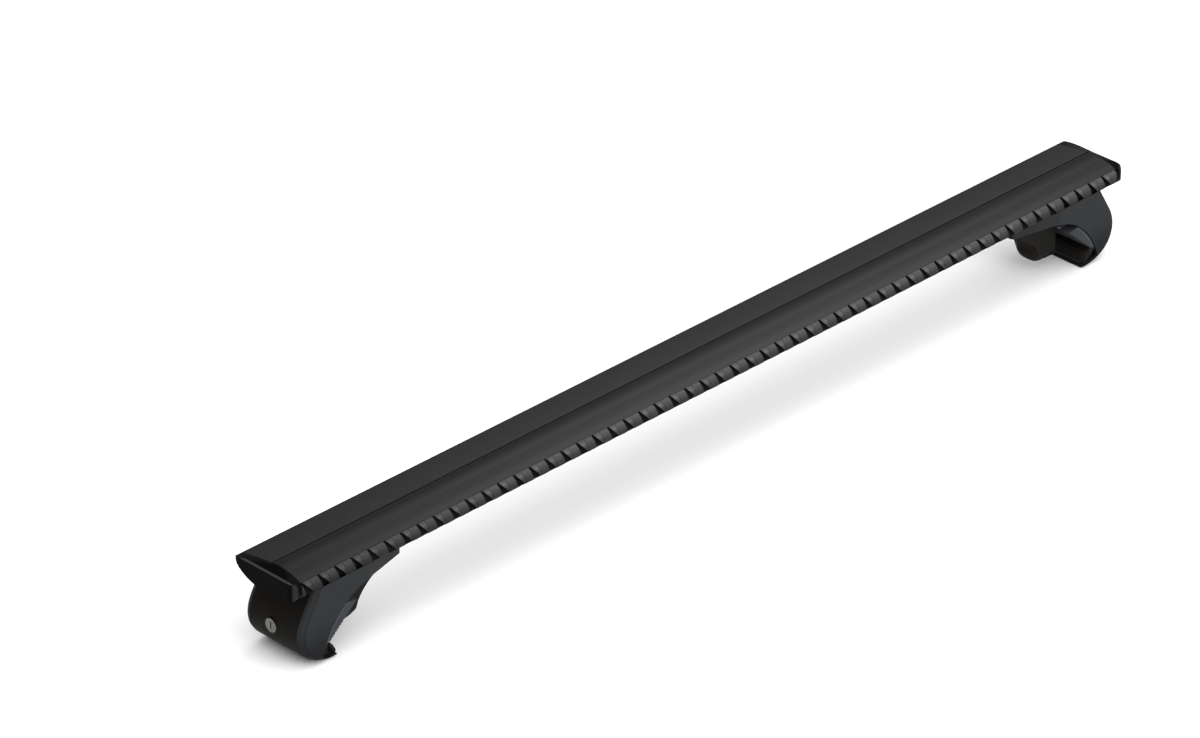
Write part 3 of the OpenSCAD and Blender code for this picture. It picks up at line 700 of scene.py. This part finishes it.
def screw_thread(side):
    """Thread of the clamp screw, as a ridge that winds along it beyond the stretch that enters the nut."""
    start, end, radius, root = 15.5 * MM, 38.5 * MM, 4.0 * MM, 3.9 * MM
    pitch, depth, steps = sizes().thread_pitch, sizes().thread_depth, 20
    flank = pitch * 0.42
    axis = Vector((outward(side) * math.cos(SCREW_SLOPE), 0.0, -math.sin(SCREW_SLOPE)))
    across = Vector((0.0, 1.0, 0.0))
    origin = foot_point(side, *NUT_PLACE)
    count = int((end - start) / pitch * steps)
    bm = bmesh.new()
    ridge = bm.faces.new([bm.verts.new(origin + axis * (start + shift) + across * reach) for shift, reach in
                          ((-flank, root), (0.0, radius + depth), (flank, root))])
    bmesh.ops.spin(bm, geom=[ridge], cent=origin, axis=axis, dvec=axis * pitch / steps,
                   angle=math.tau * count / steps, steps=count)
    add_closed_piece(side + "_screw_thread", bm, side + "_screw", "steel", False)


def lock_groove(side):
    """A dark arc let into the face of the lock."""
    inner, outer, proud, sunk = 4.5, 4.9, 0.05, 0.4
    first, last, steps = math.radians(60), math.radians(300), 32
    u, y, z = LOCK_PLACE
    bm = bmesh.new()
    section = bm.faces.new([
        bm.verts.new(foot_point(side, u + depth, y + radius * math.cos(first), z + radius * math.sin(first)))
        for radius, depth in ((inner, -proud), (outer, -proud), (outer, sunk), (inner, sunk))])
    bmesh.ops.spin(bm, geom=[section], cent=foot_point(side, u, y, z), axis=(1.0, 0.0, 0.0),
                   angle=last - first, steps=steps)
    add_closed_piece(side + "_lock_groove", bm, side + "_lock", "sleeve", False)


class CROSSBAR_OT_finishes(bpy.types.Operator):
    """Build the shared effects and one material for each finish"""
    bl_idname = "crossbar.finishes"
    bl_label = "Finishes"

    def execute(self, context):
        materials = make_materials()
        context.scene["crossbar_materials"] = {slot: m.name for slot, m in materials.items()}
        return {"FINISHED"}


class CROSSBAR_OT_bar(bpy.types.Operator):
    """Dress the extrusion and the toothed wind strip"""
    bl_idname = "crossbar.bar"
    bl_label = "Bar and wind strip"

    def execute(self, context):
        dressed_copy("bar_extrusion", 0.0)
        dressed_copy("wind_strip", sizes().strip_edge)
        return {"FINISHED"}


class CROSSBAR_OT_end_caps(bpy.types.Operator):
    """Dress the end caps"""
    bl_idname = "crossbar.end_caps"
    bl_label = "End caps"

    def execute(self, context):
        for side in SIDES:
            dressed_copy(side + "_end_cap", sizes().plastic_edge)
        return {"FINISHED"}


class CROSSBAR_OT_feet(bpy.types.Operator):
    """Dress the shells, covers, blocks, gaskets and pads, and add the knee boots and ceiling lugs"""
    bl_idname = "crossbar.feet"
    bl_label = "Feet"

    def execute(self, context):
        for side in SIDES:
            for node in ("foot_shell", "lock_cover", "support_block", "bar_gasket", "rail_pad", "jaw_pad"):
                dressed_copy(f"{side}_{node}", sizes().plastic_edge)
            knee_boot(side)
            ceiling_lug(side)
        return {"FINISHED"}


class CROSSBAR_OT_clamps(bpy.types.Operator):
    """Dress the jaws, screws, nuts and slot fixings, and add the hook pads, pad rims and threads"""
    bl_idname = "crossbar.clamps"
    bl_label = "Clamps and fixings"

    def execute(self, context):
        for side in SIDES:
            for node in ("clamp_jaw", "clamp_screw", "washer", "barrel_nut", "slot_slider", "slot_bolts",
                         "hinge_pin"):
                dressed_copy(f"{side}_{node}", sizes().metal_edge)
            hook_pad(side)
            pad_rim(side)
            screw_thread(side)
        return {"FINISHED"}


class CROSSBAR_OT_locks(bpy.types.Operator):
    """Dress the locks, and let a dark arc into each face"""
    bl_idname = "crossbar.locks"
    bl_label = "Locks"

    def execute(self, context):
        for side in SIDES:
            for node in ("lock_sleeve", "lock_barrel", "lock_cam", "cam_screw"):
                dressed_copy(f"{side}_{node}", sizes().metal_edge)
            lock_groove(side)
        return {"FINISHED"}


def softbox(name, place, aim, width, height, power):
    light = bpy.data.lights.new(name, "AREA")
    light.shape = "RECTANGLE"
    light.size = width
    light.size_y = height
    light.energy = power
    lamp = bpy.data.objects.new(name, light)
    lamp.location = place
    lamp.rotation_euler = (Vector(aim) - Vector(place)).to_track_quat("-Z", "Y").to_euler()
    bpy.context.scene.collection.objects.link(lamp)


def pale_floor():
    under_feet = CAD_BOX[0][2] - FLOOR_GAP
    bm = bmesh.new()
    bmesh.ops.create_grid(bm, x_segments=1, y_segments=1, size=settings().floor_size / 2,
                          matrix=Matrix.Translation((0.0, 0.0, under_feet)))
    mesh = bpy.data.meshes.new("studio_floor")
    bm.to_mesh(mesh)
    bm.free()
    floor = bpy.data.objects.new("studio_floor", mesh)
    bpy.context.scene.collection.objects.link(floor)
    paint = Paint("Studio Floor", (0.93, 0.93, 0.93), 0.9, specular=0.0)
    mesh.materials.append(paint.done())


def room_light():
    world = bpy.data.worlds.new("Studio Room")
    bpy.context.scene.world = world
    world.use_nodes = True
    tree = world.node_tree
    background = tree.nodes["Background"]
    background.inputs["Color"].default_value = (1.0, 1.0, 1.0, 1.0)
    path = tree.nodes.new("ShaderNodeLightPath")
    seen = math_node(tree, "MAXIMUM", path.outputs["Is Camera Ray"], path.outputs["Is Glossy Ray"])
    seen = math_node(tree, "MAXIMUM", seen, path.outputs["Is Transmission Ray"])
    unseen = math_node(tree, "SUBTRACT", 1.0, seen)
    dim = math_node(tree, "MULTIPLY", unseen, settings().ambient)
    tree.links.new(math_node(tree, "ADD", seen, dim), background.inputs["Strength"])


def camera():
    values = settings()
    away = Vector((math.sin(values.azimuth) * math.cos(values.elevation),
                   -math.cos(values.azimuth) * math.cos(values.elevation), math.sin(values.elevation)))
    lens = bpy.data.cameras.new("photo_camera")
    lens.lens = values.lens
    lens.sensor_width = 36.0
    lens.clip_end = 200.0
    eye = bpy.data.objects.new("photo_camera", lens)
    eye.location = Vector(values.target) + away * values.distance
    eye.rotation_euler = (-away).to_track_quat("-Z", "Y").to_euler()
    bpy.context.scene.collection.objects.link(eye)
    bpy.context.scene.camera = eye


class CROSSBAR_OT_stage(bpy.types.Operator):
    """Set the pale floor, the soft lights and the camera"""
    bl_idname = "crossbar.stage"
    bl_label = "Studio"

    def execute(self, context):
        values = settings()
        pale_floor()
        room_light()
        softbox("key_softbox", place=(0.0, -0.6, 3.2), aim=(0.0, 0.0, 0.05), width=8.0, height=6.0,
                power=values.key_power)
        softbox("nose_softbox", place=(0.3, -3.4, 1.5), aim=(0.0, 0.0, 0.06), width=3.0, height=1.4,
                power=values.side_power)
        camera()
        context.scene.view_settings.view_transform = "Standard"
        return {"FINISHED"}


class CROSSBAR_PT_panel(bpy.types.Panel):
    """Steps that dress the crossbar, in order"""
    bl_idname = "CROSSBAR_PT_panel"
    bl_label = "Crossbar"
    bl_space_type = "VIEW_3D"
    bl_region_type = "UI"
    bl_category = "Crossbar"

    def draw(self, context):
        column = self.layout.column(align=True)
        for step in STEPS:
            column.operator(step.bl_idname)
        for group in (context.scene.crossbar_studio, context.scene.crossbar_finish,
                      context.scene.crossbar_sizes):
            box = self.layout.box()
            for name in group.__annotations__:
                box.prop(group, name)


STEPS = (CROSSBAR_OT_finishes, CROSSBAR_OT_bar, CROSSBAR_OT_end_caps, CROSSBAR_OT_feet,
         CROSSBAR_OT_clamps, CROSSBAR_OT_locks, CROSSBAR_OT_stage)
GROUPS = {"crossbar_studio": CrossbarStudio, "crossbar_finish": CrossbarFinish,
          "crossbar_sizes": CrossbarSizes}


def register():
    for group in GROUPS.values():
        bpy.utils.register_class(group)
    for step in STEPS:
        bpy.utils.register_class(step)
    bpy.utils.register_class(CROSSBAR_PT_panel)
    for name, group in GROUPS.items():
        setattr(bpy.types.Scene, name, PointerProperty(type=group))


def unregister():
    for name in GROUPS:
        delattr(bpy.types.Scene, name)
    bpy.utils.unregister_class(CROSSBAR_PT_panel)
    for step in reversed(STEPS):
        bpy.utils.unregister_class(step)
    for group in GROUPS.values():
        bpy.utils.unregister_class(group)


def main():
    register()
    bpy.ops.crossbar.finishes()
    bpy.ops.crossbar.bar()
    bpy.ops.crossbar.end_caps()
    bpy.ops.crossbar.feet()
    bpy.ops.crossbar.clamps()
    bpy.ops.crossbar.locks()
    bpy.ops.crossbar.stage()


if __name__ == "__main__":
    main()
